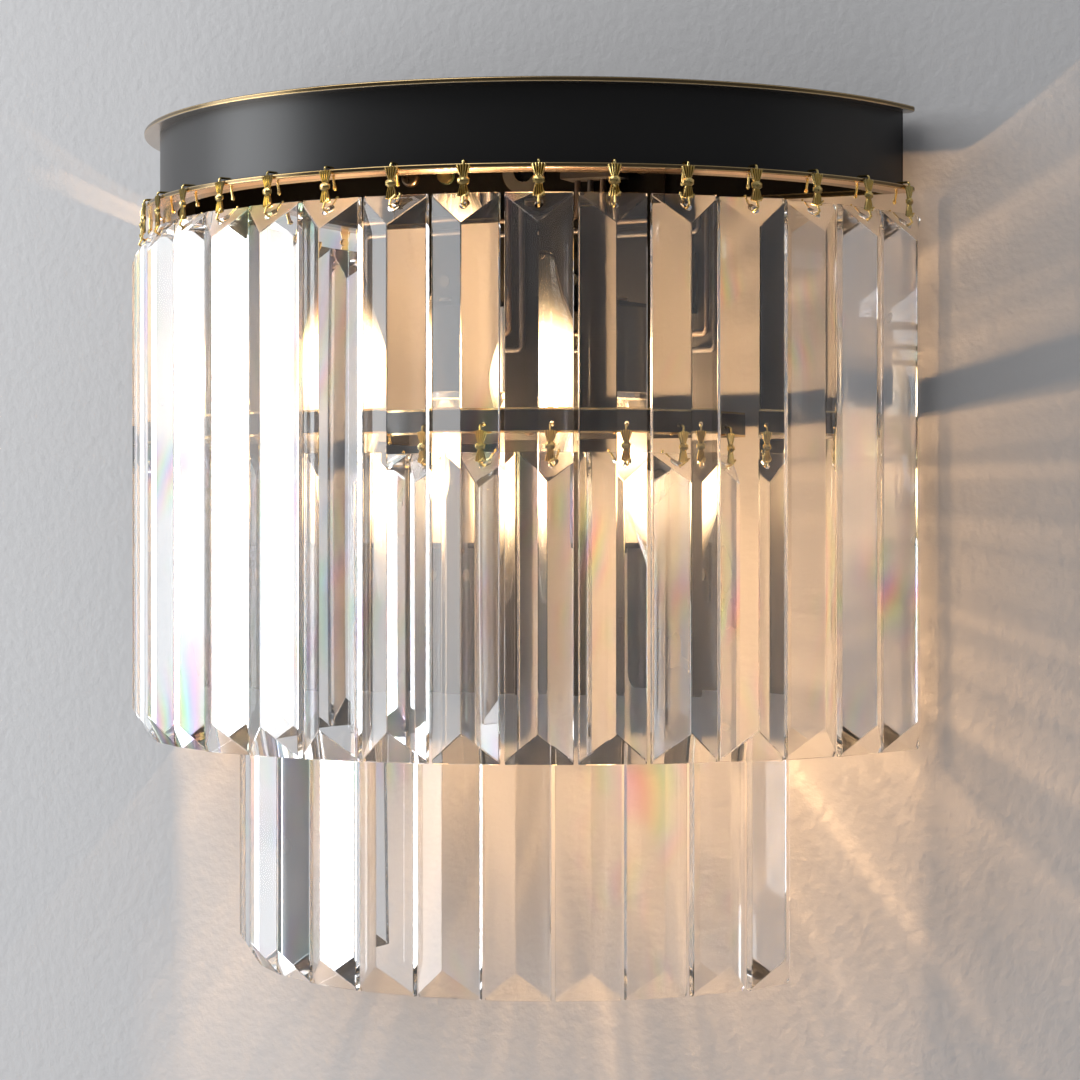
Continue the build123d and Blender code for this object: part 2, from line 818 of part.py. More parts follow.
def side_wire(slot_x, entry):
    x, z = entry
    return (
        (slot_x, wiring_y, wire_start_z),
        (slot_x, wiring_y, z),
        (x, wiring_y, z),
        (x, entry_end_y, z),
    )


with BuildPart() as live_wires:
    bent_wire(lamp_wire(block_slots[0], upper_run_z, upper_entries[0]), wire_sheath_radius, wire_bend)
    bent_wire(side_wire(block_slots[2], lower_entries[0]), wire_sheath_radius, wire_bend)
save(live_wires, "live_wires")

with BuildPart() as neutral_wires:
    bent_wire(lamp_wire(block_slots[1], lower_run_z, upper_entries[1]), wire_sheath_radius, wire_bend)
    bent_wire(side_wire(block_slots[3], lower_entries[1]), wire_sheath_radius, wire_bend)
save(neutral_wires, "neutral_wires")

earth_run_z = drum_top_z - 2.3
with BuildPart() as earth_wire:
    block_top_z = block_bottom_z + block_height
    bent_wire(
        (
            (earth_slot_x, wiring_y, block_top_z - slot_depth + 0.4),
            (earth_slot_x, wiring_y, earth_run_z),
            (earth_x, wiring_y, earth_run_z),
            (earth_x, wiring_y, lug_radius),
        ),
        wire_sheath_radius,
        1.6,
    )
    rod(earth_x, 0, lug_radius, plate_front_y, plate_front_y - lug_thickness)
    with Locations((earth_x, plate_front_y, lug_radius - 0.3)):
        Box(
            2.4 * wire_sheath_radius,
            plate_front_y - wiring_y + 1.2 * wire_sheath_radius,
            3.0,
            align=(Align.CENTER, Align.MAX, Align.MIN),
        )
    rod(earth_x, 0, earth_screw_radius + screw_thread_clearance, 0, 2 * plate_front_y, Mode.SUBTRACT)
save(earth_wire, "earth_wire")

with BuildPart() as earth_screw:
    lug_face_y = plate_front_y - lug_thickness
    rod(earth_x, 0, earth_screw_radius, lug_face_y, back_wall_front_y)
    rod(earth_x, 0, earth_head_radius, lug_face_y, lug_face_y - earth_head_height)
save(earth_screw, "earth_screw")
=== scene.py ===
import json
import math
import random

import bmesh
import bpy
from mathutils import Matrix, Vector


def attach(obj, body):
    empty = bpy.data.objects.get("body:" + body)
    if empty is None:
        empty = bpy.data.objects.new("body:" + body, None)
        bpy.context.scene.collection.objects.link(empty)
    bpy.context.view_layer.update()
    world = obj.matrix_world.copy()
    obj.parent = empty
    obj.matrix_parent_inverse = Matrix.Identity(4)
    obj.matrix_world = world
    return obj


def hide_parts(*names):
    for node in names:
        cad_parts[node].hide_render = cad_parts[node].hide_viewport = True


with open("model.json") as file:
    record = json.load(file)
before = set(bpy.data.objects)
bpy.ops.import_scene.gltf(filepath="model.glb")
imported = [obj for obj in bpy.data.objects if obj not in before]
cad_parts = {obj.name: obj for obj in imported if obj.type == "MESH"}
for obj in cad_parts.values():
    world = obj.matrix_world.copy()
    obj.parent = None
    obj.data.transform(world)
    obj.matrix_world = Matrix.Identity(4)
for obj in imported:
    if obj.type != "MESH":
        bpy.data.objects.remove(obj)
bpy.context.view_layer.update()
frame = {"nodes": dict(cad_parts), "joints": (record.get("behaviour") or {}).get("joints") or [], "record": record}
scene = bpy.context.scene

# ------------------------------------------------------------ sizes, in metres
ARC_Y = 0.016           # centre of the plates' arcs
TOP_PLATE_Z = 0.0135    # middle heights of the two gold plates
LOWER_RING_Z = -0.014
RING_TOP_Z = -0.0900    # the inner ring
RING_LOW_Z = -0.0985
OUTER_HALF = 78.7       # half the angle of each row of drops, in degrees
INNER_HALF = 68.75
UPPER_LAMP = Vector((-0.016, -0.035, -0.1305))
LOWER_LAMP = Vector((0.016, -0.035, -0.0575))
FILAMENT_H = 0.0565     # from a lamp's foot contact to the middle of its filament
MM = 0.001
HOOK_R = 5.4 * MM       # from the hinge to the middle of the wire that carries the drop
WIRE_R = 0.42 * MM
SHEET_R = 0.1437        # between the two faces of the drum's sheet
HOLLOW_R = 0.1432       # the plates are shaded inside this, where the drum is hollow
GOLD_EDGE = 0.7 * MM    # the gold edge along the inner ring

nodes = frame["nodes"]
outer_drops = sorted(n for n in nodes if n.startswith("outer_drop_"))
inner_drops = sorted(n for n in nodes if n.startswith("inner_drop_"))
hook = {j["child"]: j for j in frame["joints"]}


# ------------------------------------------------------------ material helpers
class Tree:
    """A short way to add and link shader nodes."""

    def __init__(self, name):
        self.mat = bpy.data.materials.new(name)
        self.mat.use_nodes = True
        self.nodes = self.mat.node_tree.nodes
        self.links = self.mat.node_tree.links
        self.nodes.clear()
        self.out = self.nodes.new("ShaderNodeOutputMaterial")

    def new(self, kind, **inputs):
        node = self.nodes.new("ShaderNode" + kind)
        for key, value in inputs.items():
            self.put(node, key, value)
        return node

    def put(self, node, key, value):
        """Set an input by its name, or by its number written as _0, _1 and so on."""
        by_number = key[0] == "_" and key[1:].isdigit()
        self.fill(node.inputs[int(key[1:]) if by_number else key.replace("_", " ")], value)

    def fill(self, socket, value):
        if isinstance(value, bpy.types.NodeSocket):
            self.links.new(value, socket)
        else:
            socket.default_value = value

    def math(self, op, a, b=0.0, c=0.0, clamp=False):
        node = self.nodes.new("ShaderNodeMath")
        node.operation = op
        node.use_clamp = clamp
        for socket, value in zip(node.inputs, (a, b, c)):
            self.fill(socket, value)
        return node.outputs[0]

    def mix(self, fac, a, b):
        node = self.nodes.new("ShaderNodeMix")
        node.data_type = "RGBA"
        # a Mix node keeps its colours in inputs 6 and 7 and the colour result in output 2
        for index, value in ((0, fac), (6, a), (7, b)):
            self.fill(node.inputs[index], value)
        return node.outputs[2]

    def noise(self, scale, detail):
        node = self.new("TexNoise", Scale=scale, Detail=detail, Roughness=0.55)
        self.links.new(self.place(), node.inputs["Vector"])
        return node.outputs["Fac"]

    def place(self):
        """The object's own coordinates, which are the shared frame's."""
        if not hasattr(self, "_place"):
            self._place = self.new("TexCoord").outputs["Object"]
        return self._place

    def xyz(self):
        if not hasattr(self, "_xyz"):
            self._xyz = self.new("SeparateXYZ", Vector=self.place()).outputs
        return self._xyz

    def ramp(self, fac, *stops):
        """Grey levels along fac, each stop a position and a level."""
        node = self.nodes.new("ShaderNodeValToRGB")
        self.links.new(fac, node.inputs[0])
        ramp = node.color_ramp
        while len(ramp.elements) < len(stops):
            ramp.elements.new(0.5)
        for element, (at, value) in zip(ramp.elements, stops):
            element.position = at
            element.color = (value, value, value, 1)
        return node.outputs[0]

    def bump(self, height, strength, distance):
        node = self.new("Bump", Strength=strength, Distance=distance, Height=height)
        return node.outputs[0]

    def over(self, top, under, share):
        """The top shader in the given share over the other one."""
        mixed = self.new("MixShader", Fac=share)
        self.links.new(under.outputs[0], mixed.inputs[1])
        self.links.new(top.outputs[0], mixed.inputs[2])
        return mixed

    def finish(self, shader):
        self.links.new(shader.outputs[0], self.out.inputs[0])
        return self.mat


def rgb(r, g, b):
    return (r, g, b, 1.0)


def through_shadow(t, shader, tint):
    """Glass that lets the lamps' light through instead of blocking it."""
    clear = t.new("BsdfTransparent", Color=tint)
    return t.over(clear, shader, t.new("LightPath").outputs["Is Shadow Ray"])


def crystal_material():
    """Clear cut crystal with faint rainbow streaks where the facets split the light."""
    bands_per_metre, drift_bands, rainbow_share = 95.0, 9.0, 0.30
    t = Tree("crystal")
    x, y = t.xyz()[:2]
    smear = t.noise(38.0, 2.0)
    rough = t.ramp(smear, (0.45, 0.0), (0.8, 0.012))
    drift = t.math("MULTIPLY", t.noise(9.0, 1.0), drift_bands)
    slant = t.math("ADD", x, t.math("MULTIPLY", y, 0.6))
    hue = t.math("FRACT", t.math("MULTIPLY_ADD", slant, bands_per_metre, drift))
    rainbow = t.new("CombineColor", _0=hue, _1=0.55, _2=1.0)
    rainbow.mode = "HSV"
    patch = t.ramp(t.noise(22.0, 2.0), (0.56, 0.0), (0.70, 1.0))
    tinted = t.math("MULTIPLY", patch, rainbow_share)
    colour = t.mix(tinted, rgb(0.985, 0.99, 0.995), rainbow.outputs[0])
    glass = t.new("BsdfGlass", Color=colour, IOR=1.52, Roughness=rough)
    # a thin film of handling marks and dust that catches the window and the lamps
    film_rough = t.math("MULTIPLY_ADD", smear, 0.15, 0.24)
    film = t.new("BsdfGlossy", Color=rgb(0.97, 0.98, 1.0), Roughness=film_rough)
    glass = t.over(film, glass, t.math("MULTIPLY_ADD", smear, 0.024, 0.010))
    # the lamps' light passes, darkened where a facet turns away, so the wall gets streaks,
    facing = t.new("LayerWeight", Blend=0.5).outputs["Facing"]
    tint = t.ramp(facing, (0.0, 0.97), (0.35, 0.85), (0.7, 0.35), (1.0, 0.12))
    # and darkened to a small share at the left end of the rows
    dark_end, per_metre, least = -0.12, 20.0, 0.15
    inwards = t.math("MULTIPLY_ADD", x, per_metre, -dark_end * per_metre, clamp=True)
    passed = t.math("MULTIPLY_ADD", inwards, 1.0 - least, least)
    tint = t.mix(passed, rgb(0, 0, 0), tint)
    return t.finish(through_shadow(t, glass, tint))


def halo(t, strength):
    """Warm light scattered in the glass around each lit filament, strongest face on."""
    full_at, nearest, fall_power = 17 * MM, 15 * MM, 8.0
    total = None
    for lamp, way in ((UPPER_LAMP, 1), (LOWER_LAMP, -1)):
        near = t.new("VectorMath")
        near.operation = "DISTANCE"
        t.links.new(t.place(), near.inputs[0])
        near.inputs[1].default_value = lamp + Vector((0, 0, way * FILAMENT_H))
        far = t.math("MAXIMUM", near.outputs["Value"], nearest)
        fall = t.math("POWER", t.math("DIVIDE", full_at, far), fall_power)
        total = fall if total is None else t.math("ADD", total, fall)
    facing = t.new("LayerWeight", Blend=0.5).outputs["Facing"]
    front = t.math("POWER", t.math("SUBTRACT", 1.0, facing), 2.2)
    return t.math("MULTIPLY", t.math("MULTIPLY", total, front), strength)


def bulb_glass_material():
    """Thin clear glass, slightly hazy, with the warm glow of the filament in it."""
    t = Tree("bulb_glass")
    haze = t.ramp(t.noise(60.0, 2.0), (0.4, 0.0), (0.9, 0.02))
    glass = t.new("BsdfGlass", Color=rgb(1.0, 0.99, 0.97), IOR=1.46, Roughness=haze)
    glow = t.new("Emission", Color=rgb(1.0, 0.66, 0.34), Strength=halo(t, 3.4))
    add = t.new("AddShader")
    t.links.new(glass.outputs[0], add.inputs[0])
    t.links.new(glow.outputs[0], add.inputs[1])
    return t.finish(through_shadow(t, add, rgb(0.97, 0.96, 0.94)))


def metal_material(name, colour, dark, rough):
    """A plated metal with slight variation in tone and roughness, and a fine surface."""
    t = Tree(name)
    big = t.noise(25.0, 3.0)
    fine = t.noise(300.0, 4.0)
    base = t.mix(t.ramp(big, (0.3, 0.0), (0.75, 1.0)), rgb(*dark), rgb(*colour))
    low, high = rough
    shade = t.math("MULTIPLY_ADD", fine, high - low, low)
    b = t.new("BsdfPrincipled", Metallic=1.0, Base_Color=base, Roughness=shade)
    t.put(b, "Normal", t.bump(fine, 0.25, 0.02 * MM))
    return t.finish(b)


def black_material(name, gold_or_shade_mask=None, rough=0.36, level=0.008, specular=0.45):
    """Satin black enamel with a faint orange peel.

    The mask, if given, is band_edges, which turns it to gold, or the one of the drum band's inner side, which
    paints shade there: a darker base and less specular.
    """
    t = Tree(name)
    peel = t.noise(900.0, 2.0)
    cloud = t.noise(14.0, 3.0)
    dust = t.ramp(t.noise(1700.0, 1.0), (0.72, 0.0), (0.78, 1.0))
    deep, pale = level * 0.8, level * 1.3
    base = t.mix(cloud, rgb(deep, deep, deep), rgb(pale, pale, level * 1.35))
    base = t.mix(t.math("MULTIPLY", dust, 0.25), base, rgb(0.05, 0.05, 0.05))
    b = t.new("BsdfPrincipled")
    t.put(b, "Specular IOR Level", specular)
    t.put(b, "Normal", t.bump(peel, 0.12, 0.03 * MM))
    shade = t.math("MULTIPLY_ADD", cloud, 0.08, rough - 0.04)
    if gold_or_shade_mask is None:
        t.put(b, "Base Color", base)
        t.put(b, "Roughness", shade)
        return t.finish(b)
    mask = gold_or_shade_mask(t)
    if gold_or_shade_mask is drum_inside_shade:
        # painted shade: the drum's inner side is darker, with less specular
        t.put(b, "Base Color", t.mix(mask, base, rgb(0.002, 0.002, 0.002)))
        t.put(b, "Specular IOR Level", t.math("MULTIPLY_ADD", mask, -0.39, specular))
        t.put(b, "Roughness", shade)
        return t.finish(b)
    t.put(b, "Base Color", t.mix(mask, base, rgb(0.78, 0.58, 0.30)))
    t.put(b, "Metallic", mask)
    t.put(b, "Roughness", t.math("MULTIPLY_ADD", mask, -0.14, shade))
    return t.finish(b)


def arc_radius(t):
    x, y = t.xyz()[:2]
    yy = t.math("SUBTRACT", y, ARC_Y)
    return t.math("SQRT", t.math("ADD", t.math("MULTIPLY", x, x), t.math("MULTIPLY", yy, yy)))


def drum_inside_shade(t):
    """One on the inner side of the drum's band, where the enamel gets painted shade."""
    return t.math("LESS_THAN", arc_radius(t), SHEET_R)


def band_edges(t):
    """One along the upper and lower edges of the inner ring."""
    z = t.xyz()[2]
    high = t.math("GREATER_THAN", z, RING_TOP_Z - GOLD_EDGE)
    low = t.math("LESS_THAN", z, RING_LOW_Z + GOLD_EDGE)
    return t.math("ADD", high, low, clamp=True)


def plate_material(name, underside, inner, middle_z):
    """Gold plate: a darker rim between two bright edges, a polished underside, black on top.

    underside is the colour of the underside outside the drum's hollow, and inner is painted shade: the underside's
    darker colour inside it.
    """
    t = Tree(name)
    z = t.xyz()[2]
    fine = t.noise(500.0, 4.0)
    cloud = t.noise(18.0, 3.0)
    normal = t.new("SeparateXYZ", Vector=t.new("NewGeometry").outputs["True Normal"]).outputs[2]
    top = t.math("GREATER_THAN", normal, 0.7)
    under = t.math("LESS_THAN", normal, -0.7)
    off_middle = t.math("ABSOLUTE", t.math("SUBTRACT", z, middle_z))
    edge = t.new("MapRange", _0=off_middle, _1=0.35 * MM, _2=0.6 * MM).outputs[0]
    patches = t.ramp(cloud, (0.3, 0.0), (0.7, 1.0))
    gold = t.mix(patches, rgb(0.60, 0.43, 0.20), rgb(0.80, 0.60, 0.31))
    rim = t.mix(edge, rgb(0.16, 0.115, 0.06), gold)
    # painted shade: the underside is darker inside the drum's hollow
    inside = t.math("LESS_THAN", arc_radius(t), HOLLOW_R)
    shade_under = t.mix(inside, rgb(*underside), rgb(*inner))
    base = t.mix(top, t.mix(under, rim, shade_under), rgb(0.012, 0.012, 0.013))
    b = t.new("BsdfPrincipled")
    t.put(b, "Base Color", base)
    t.put(b, "Metallic", t.math("SUBTRACT", 1.0, top))
    t.put(b, "Roughness", t.math("MULTIPLY_ADD", fine, 0.12, 0.17))
    t.put(b, "Normal", t.bump(fine, 0.1, 0.02 * MM))
    return t.finish(b)


def clip_material():
    """Bright stamped brass, with painted shade in the grooves of the flutes and on the bead's lower facets."""
    t = Tree("clip_brass")
    fine = t.noise(900.0, 3.0)
    painted_shade = t.new("Attribute")
    painted_shade.attribute_name = "painted_shade"
    shade = t.mix(t.noise(160.0, 2.0), rgb(0.86, 0.66, 0.24), rgb(1.0, 0.80, 0.36))
    b = t.new("BsdfPrincipled", Metallic=1.0)
    # painted shade: the brass turns dark where a vertex carries a high weight
    t.put(b, "Base Color", t.mix(painted_shade.outputs["Fac"], shade, rgb(0.16, 0.10, 0.03)))
    t.put(b, "Roughness", t.math("MULTIPLY_ADD", fine, 0.12, 0.12))
    t.put(b, "Normal", t.bump(fine, 0.2, 0.02 * MM))
    return t.finish(b)


def plastic_material(name, colour, rough, coat=0.0):
    """Moulded plastic or rubber with a fine grain and a faint cloudiness."""
    t = Tree(name)
    grain = t.noise(700.0, 3.0)
    cloud = t.noise(40.0, 2.0)
    dark = tuple(c * 0.8 for c in colour)
    b = t.new("BsdfPrincipled")
    t.put(b, "Coat Weight", coat)
    t.put(b, "Base Color", t.mix(cloud, rgb(*dark), rgb(*colour)))
    t.put(b, "Roughness", t.math("MULTIPLY_ADD", grain, 0.15, rough))
    t.put(b, "Normal", t.bump(grain, 0.2, 0.03 * MM))
    return t.finish(b)


def glow_material(name, colour, strength):
    """A lit filament whose brightness varies a little along it."""
    t = Tree(name)
    flicker = t.noise(600.0, 2.0)
    e = t.new("Emission", Color=rgb(*colour))
    t.put(e, "Strength", t.math("MULTIPLY_ADD", flicker, strength * 0.4, strength * 0.8))
    return t.finish(e)


METALS = {  # light colour, dark colour, lowest and highest roughness
    "zinc_steel": ((0.62, 0.62, 0.60), (0.45, 0.45, 0.44), (0.25, 0.45)),
    "screw_steel": ((0.16, 0.12, 0.08), (0.08, 0.06, 0.04), (0.22, 0.4)),
    "screw_brass": ((0.75, 0.58, 0.28), (0.5, 0.38, 0.16), (0.2, 0.4)),
    "contact_brass": ((0.75, 0.58, 0.28), (0.5, 0.38, 0.16), (0.2, 0.4)),
    "cap_metal": ((0.80, 0.79, 0.76), (0.6, 0.59, 0.57), (0.15, 0.3)),
}
PLASTICS = {  # colour, roughness and, for the holder, its coat
    "holder_plastic": ((0.02, 0.02, 0.021), 0.3, 0.3),
    "block_plastic": ((0.015, 0.015, 0.016), 0.45),
    "live_sheath": ((0.03, 0.022, 0.018), 0.4),
    "neutral_sheath": ((0.016, 0.018, 0.026), 0.4),
    "earth_sheath": ((0.016, 0.028, 0.01), 0.4),
    "grommet_rubber": ((0.02, 0.02, 0.02), 0.6),
}
MATS = {
    "crystal": crystal_material(),
    "bulb_glass": bulb_glass_material(),
    "clip_brass": clip_material(),
    # each plate's second colour is painted shade, for its underside inside the drum's hollow
    "top_plate": plate_material(
        "top_plate_gold", (0.50, 0.43, 0.36), (0.004, 0.004, 0.004), TOP_PLATE_Z),
    "lower_ring": plate_material(
        "lower_ring_gold", (0.62, 0.46, 0.34), (0.16, 0.12, 0.08), LOWER_RING_Z),
    "black_metal": black_material("black_metal"),
    # painted shade: a darker, duller black for parts that stand in shade
    "shade_black": black_material("shade_black", rough=0.5, level=0.002, specular=0.06),
    # the drum's enamel, with painted shade on its inner side
    "drum_band": black_material("drum_enamel", drum_inside_shade),
    "inner_ring": black_material("inner_ring_enamel", band_edges, 0.3),
    "filament": glow_material("filament_glow", (1.0, 0.74, 0.42), 260.0),
    **{name: metal_material(name, *values) for name, values in METALS.items()},
    **{name: plastic_material(name, *values) for name, values in PLASTICS.items()},
}

slot_of = {s["node"]: s["material_slot"] for s in frame["record"]["subparts"]}
own_material = {  # nodes that don't look like the rest of their slot
    "top_plate": "top_plate",
    "lower_ring": "lower_ring",
    "inner_ring_band": "inner_ring",
    "drum_band": "drum_band",
    # painted shade: the drum's back, the back plate and the lamp arms get a darker black, the arms in place of
    # their own metal
    "drum_back": "shade_black",
    "back_plate": "shade_black",
    "upper_lamp_arm": "shade_black",
    "lower_lamp_arm": "shade_black",
}


def paint(obj, material):
    obj.data.materials.clear()
    obj.data.materials.append(material)


def flat_faces(obj):
    for polygon in obj.data.polygons:
        polygon.use_smooth = False


for name, obj in nodes.items():
    key = own_material.get(name) or slot_of[name]
    paint(obj, MATS[key])
    if slot_of[name] == "crystal":
        flat_faces(obj)


# ------------------------------------------------------------ mesh helpers
def mesh_object(name, bm, material, smooth=False):
    mesh = bpy.data.meshes.new(name)
    bm.normal_update()
    bm.to_mesh(mesh)
    bm.free()
    for polygon in mesh.polygons:
        polygon.use_smooth = smooth
    obj = bpy.data.objects.new(name, mesh)
    scene.collection.objects.link(obj)
    paint(obj, material)
    return obj


def tube(bm, points, radius, sides=10, taper=None):
    """A closed round tube along the points; taper gives a radius factor at each point."""
    rings = []
    count = len(points)
    side = None
    for i, p in enumerate(points):
        a = points[max(i - 1, 0)]
        b = points[min(i + 1, count - 1)]
        along = (b - a).normalized()
        if side is None:
            side = along.orthogonal().normalized()
        side = (side - along * side.dot(along)).normalized()
        up = along.cross(side)
        r = radius * (taper[i] if taper else 1.0)
        ring = []
        for k in range(sides):
            w = 2 * math.pi * k / sides
            ring.append(bm.verts.new(p + side * (r * math.cos(w)) + up * (r * math.sin(w))))
        rings.append(ring)
    for first, second in zip(rings, rings[1:]):
        for k in range(sides):
            n = (k + 1) % sides
            bm.faces.new((first[k], first[n], second[n], second[k]))
    bm.faces.new(list(reversed(rings[0])))
    bm.faces.new(rings[-1])


def smooth_path(corners, radius, steps=5):
    """Straight runs joined by arcs, like a bent wire."""
    corners = [Vector(c) for c in corners]
    out = [corners[0]]
    for before, corner, after in zip(corners, corners[1:], corners[2:]):
        u = (before - corner).normalized()
        v = (after - corner).normalized()
        angle = u.angle(v)
        if angle > math.pi - 0.02:
            continue
        longest = 0.49 * min((before - corner).length, (after - corner).length)
        cut = min(radius / math.tan(angle / 2), longest)
        r = cut * math.tan(angle / 2)
        centre = corner + (u + v).normalized() * (r / math.sin(angle / 2))
        start, end = corner + u * cut - centre, corner + v * cut - centre
        for i in range(steps + 1):
            out.append(centre + start.slerp(end, i / steps, start).normalized() * r)
    out.append(corners[-1])
    return out


# ------------------------------------------------------------ clips
def fan(bm, top_z, low_z, out, wide, narrow, flip, painted_shade):
    """A fluted fan: ridges and grooves fan out from the neck to a scalloped edge.

    flip turns the faces round for a fan that widens downwards.
    """
    flutes = 5
    rows = 6
    columns = flutes * 6
    front = []
    back = []
    for j in range(rows + 1):
        s = j / rows
        half = narrow + (wide - narrow) * s ** 0.85
        row_f, row_b = [], []
        for i in range(columns + 1):
            u = -1 + 2 * i / columns
            wave = math.cos(u * math.pi * flutes)
            z = low_z + (top_z - low_z) * s
            z += (top_z - low_z) * (0.10 * (1 - u * u) + 0.03 * wave) * s ** 2
            depth = out + MM * (0.12 + 0.275 * (1 - u * u) + 0.30 * wave * min(1, 0.45 + s))
            vertex = bm.verts.new((half * u, -depth, z))
            # painted shade in the grooves between the flutes
            vertex[painted_shade] = max(0.0, 0.2 - wave) / 1.2
            row_f.append(vertex)
            row_b.append(bm.verts.new((half * u, -(out - 0.35 * MM), z)))
        front.append(row_f)
        back.append(row_b)

    def quad(a, b, c, d):
        bm.faces.new((d, c, b, a) if flip else (a, b, c, d))

    for j in range(rows):
        for i in range(columns):
            quad(front[j][i], front[j][i + 1], front[j + 1][i + 1], front[j + 1][i])
            quad(back[j][i + 1], back[j][i], back[j + 1][i], back[j + 1][i + 1])
        quad(back[j][0], front[j][0], front[j + 1][0], back[j + 1][0])
        quad(front[j][-1], back[j][-1], back[j + 1][-1], front[j + 1][-1])
    for i in range(columns):
        quad(back[0][i], back[0][i + 1], front[0][i + 1], front[0][i])
        quad(front[-1][i], front[-1][i + 1], back[-1][i + 1], back[-1][i])


def bead(bm, centre_z, out, half_w, half_h, painted_shade):
    """A faceted bead: an eight-sided cushion with a raised table."""
    sides = 8
    to_corner = 1.08    # the corners of the eight sides lie this much further out
    levels = ((0.0, 1.0), (0.55, 0.86), (1.05, 0.50), (1.25, 0.16))     # lift and share of size
    rings = []
    for lift, share in levels:
        ring = []
        for k in range(sides):
            w = 2 * math.pi * (k + 0.5) / sides
            x = half_w * share * math.cos(w) * to_corner
            z = half_h * share * math.sin(w) * to_corner
            vertex = bm.verts.new((x, -(out + lift * MM), centre_z + z))
            # painted shade on the bead's lower facets, and a little on the rest
            vertex[painted_shade] = 0.75 if z < 0 and share < 0.9 else 0.1
            ring.append(vertex)
        rings.append(ring)
    for a, b in zip(rings, rings[1:]):
        for k in range(sides):
            n = (k + 1) % sides
            bm.faces.new((a[n], a[k], b[k], b[n]))
    bm.faces.new(list(reversed(rings[-1])))
    low = []
    for v in rings[0]:
        spot = (v.co.x * 0.8, -(out - 0.5 * MM), (v.co.z - centre_z) * 0.8 + centre_z)
        low.append(bm.verts.new(spot))
    for k in range(sides):
        n = (k + 1) % sides
        bm.faces.new((low[n], low[k], rings[0][k], rings[0][n]))
    bm.faces.new(low)


def clip_mesh(top, out, upper_path, seed):
    """One clip about the centre of its hook: +X along the drop's width, -Y outwards.

    top is the height of the upper fan's edge and out is how far the fans stand out, in mm.
    """
    rnd = random.Random(seed)
    bm = bmesh.new()
    # a weight of painted shade at each vertex, which darkens the clip's brass
    painted_shade = bm.verts.layers.float.new("painted_shade")
    out = out * MM
    top = top * MM
    fan(bm, top - 0.5 * MM, top - 4.3 * MM, out, 2.45 * MM, 1.0 * MM, False, painted_shade)
    bead(bm, top - 5.4 * MM, out, 2.0 * MM, 1.5 * MM, painted_shade)
    fan(bm, top - 10.3 * MM, top - 6.4 * MM, out, 2.15 * MM, 1.0 * MM, True, painted_shade)
    tip = Vector((0, -out - 0.2 * MM, top - 10.4 * MM))
    front = math.radians(38)
    back = math.radians(-95)
    arc = []
    steps = 14
    for i in range(steps + 1):
        a = front + (back - front) * i / steps
        arc.append(Vector((0, -HOOK_R * math.sin(a), -HOOK_R * math.cos(a))))
    tube(bm, [tip, (tip + arc[0]) / 2, *arc], WIRE_R)
    # the wire's short end is bent aside, a little differently on each clip
    end = Vector((1.9 * MM, -out - 0.75 * MM, top - 9.3 * MM + rnd.uniform(-0.3, 0.3) * MM))
    tube(bm, [tip, (tip + end) / 2 + Vector((0, -0.2 * MM, -0.3 * MM)), end], WIRE_R * 0.8)
    path = smooth_path([(x * MM, y * MM, z * MM) for x, y, z in upper_path], 0.9 * MM)
    tube(bm, path, WIRE_R)
    # a teardrop closes the upper end of the wire behind the ring
    tear = [path[-1] + Vector((0, 0, s * MM)) for s in (0.9, 0.5, 0.0, -0.4, -0.7)]
    tube(bm, tear, WIRE_R * 1.5, taper=[0.6, 0.95, 1.1, 0.85, 0.3])
    return bm


def place_clips(prefix, half, drops, top, out, upper_path, node):
    """A clip at each drop's hook, turned to its place on a row of plus and minus half degrees."""
    for i, drop in enumerate(drops):
        angle = math.radians(-half + 2 * half / (len(drops) - 1) * i)
        bm = clip_mesh(top, out, upper_path, i)
        obj = mesh_object(f"{prefix}_{i + 1:02d}", bm, MATS["clip_brass"])
        spot = Vector(hook[drop]["pos_m"])
        obj.data.transform(Matrix.Translation(spot) @ Matrix.Rotation(angle, 4, "Z"))
        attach(obj, "sconce")
        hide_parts(node)


# the wire's way over the ring, in mm about the hook's centre
outer_upper = ((0, -2.2, 7.2), (0, -2.2, 9.5), (0, 2.8, 9.5), (0, 2.8, 6.2), (0, 3.5, 2.9))
inner_upper = ((0, -2.9, 5.6), (0, -2.9, 8.55), (0, 1.6, 8.55), (0, 1.6, 5.9))
place_clips("outer_clip", OUTER_HALF, outer_drops, 8.3, 2.2, outer_upper, "outer_clips")
place_clips("inner_clip", INNER_HALF, inner_drops, 6.6, 2.9, inner_upper, "inner_clips")


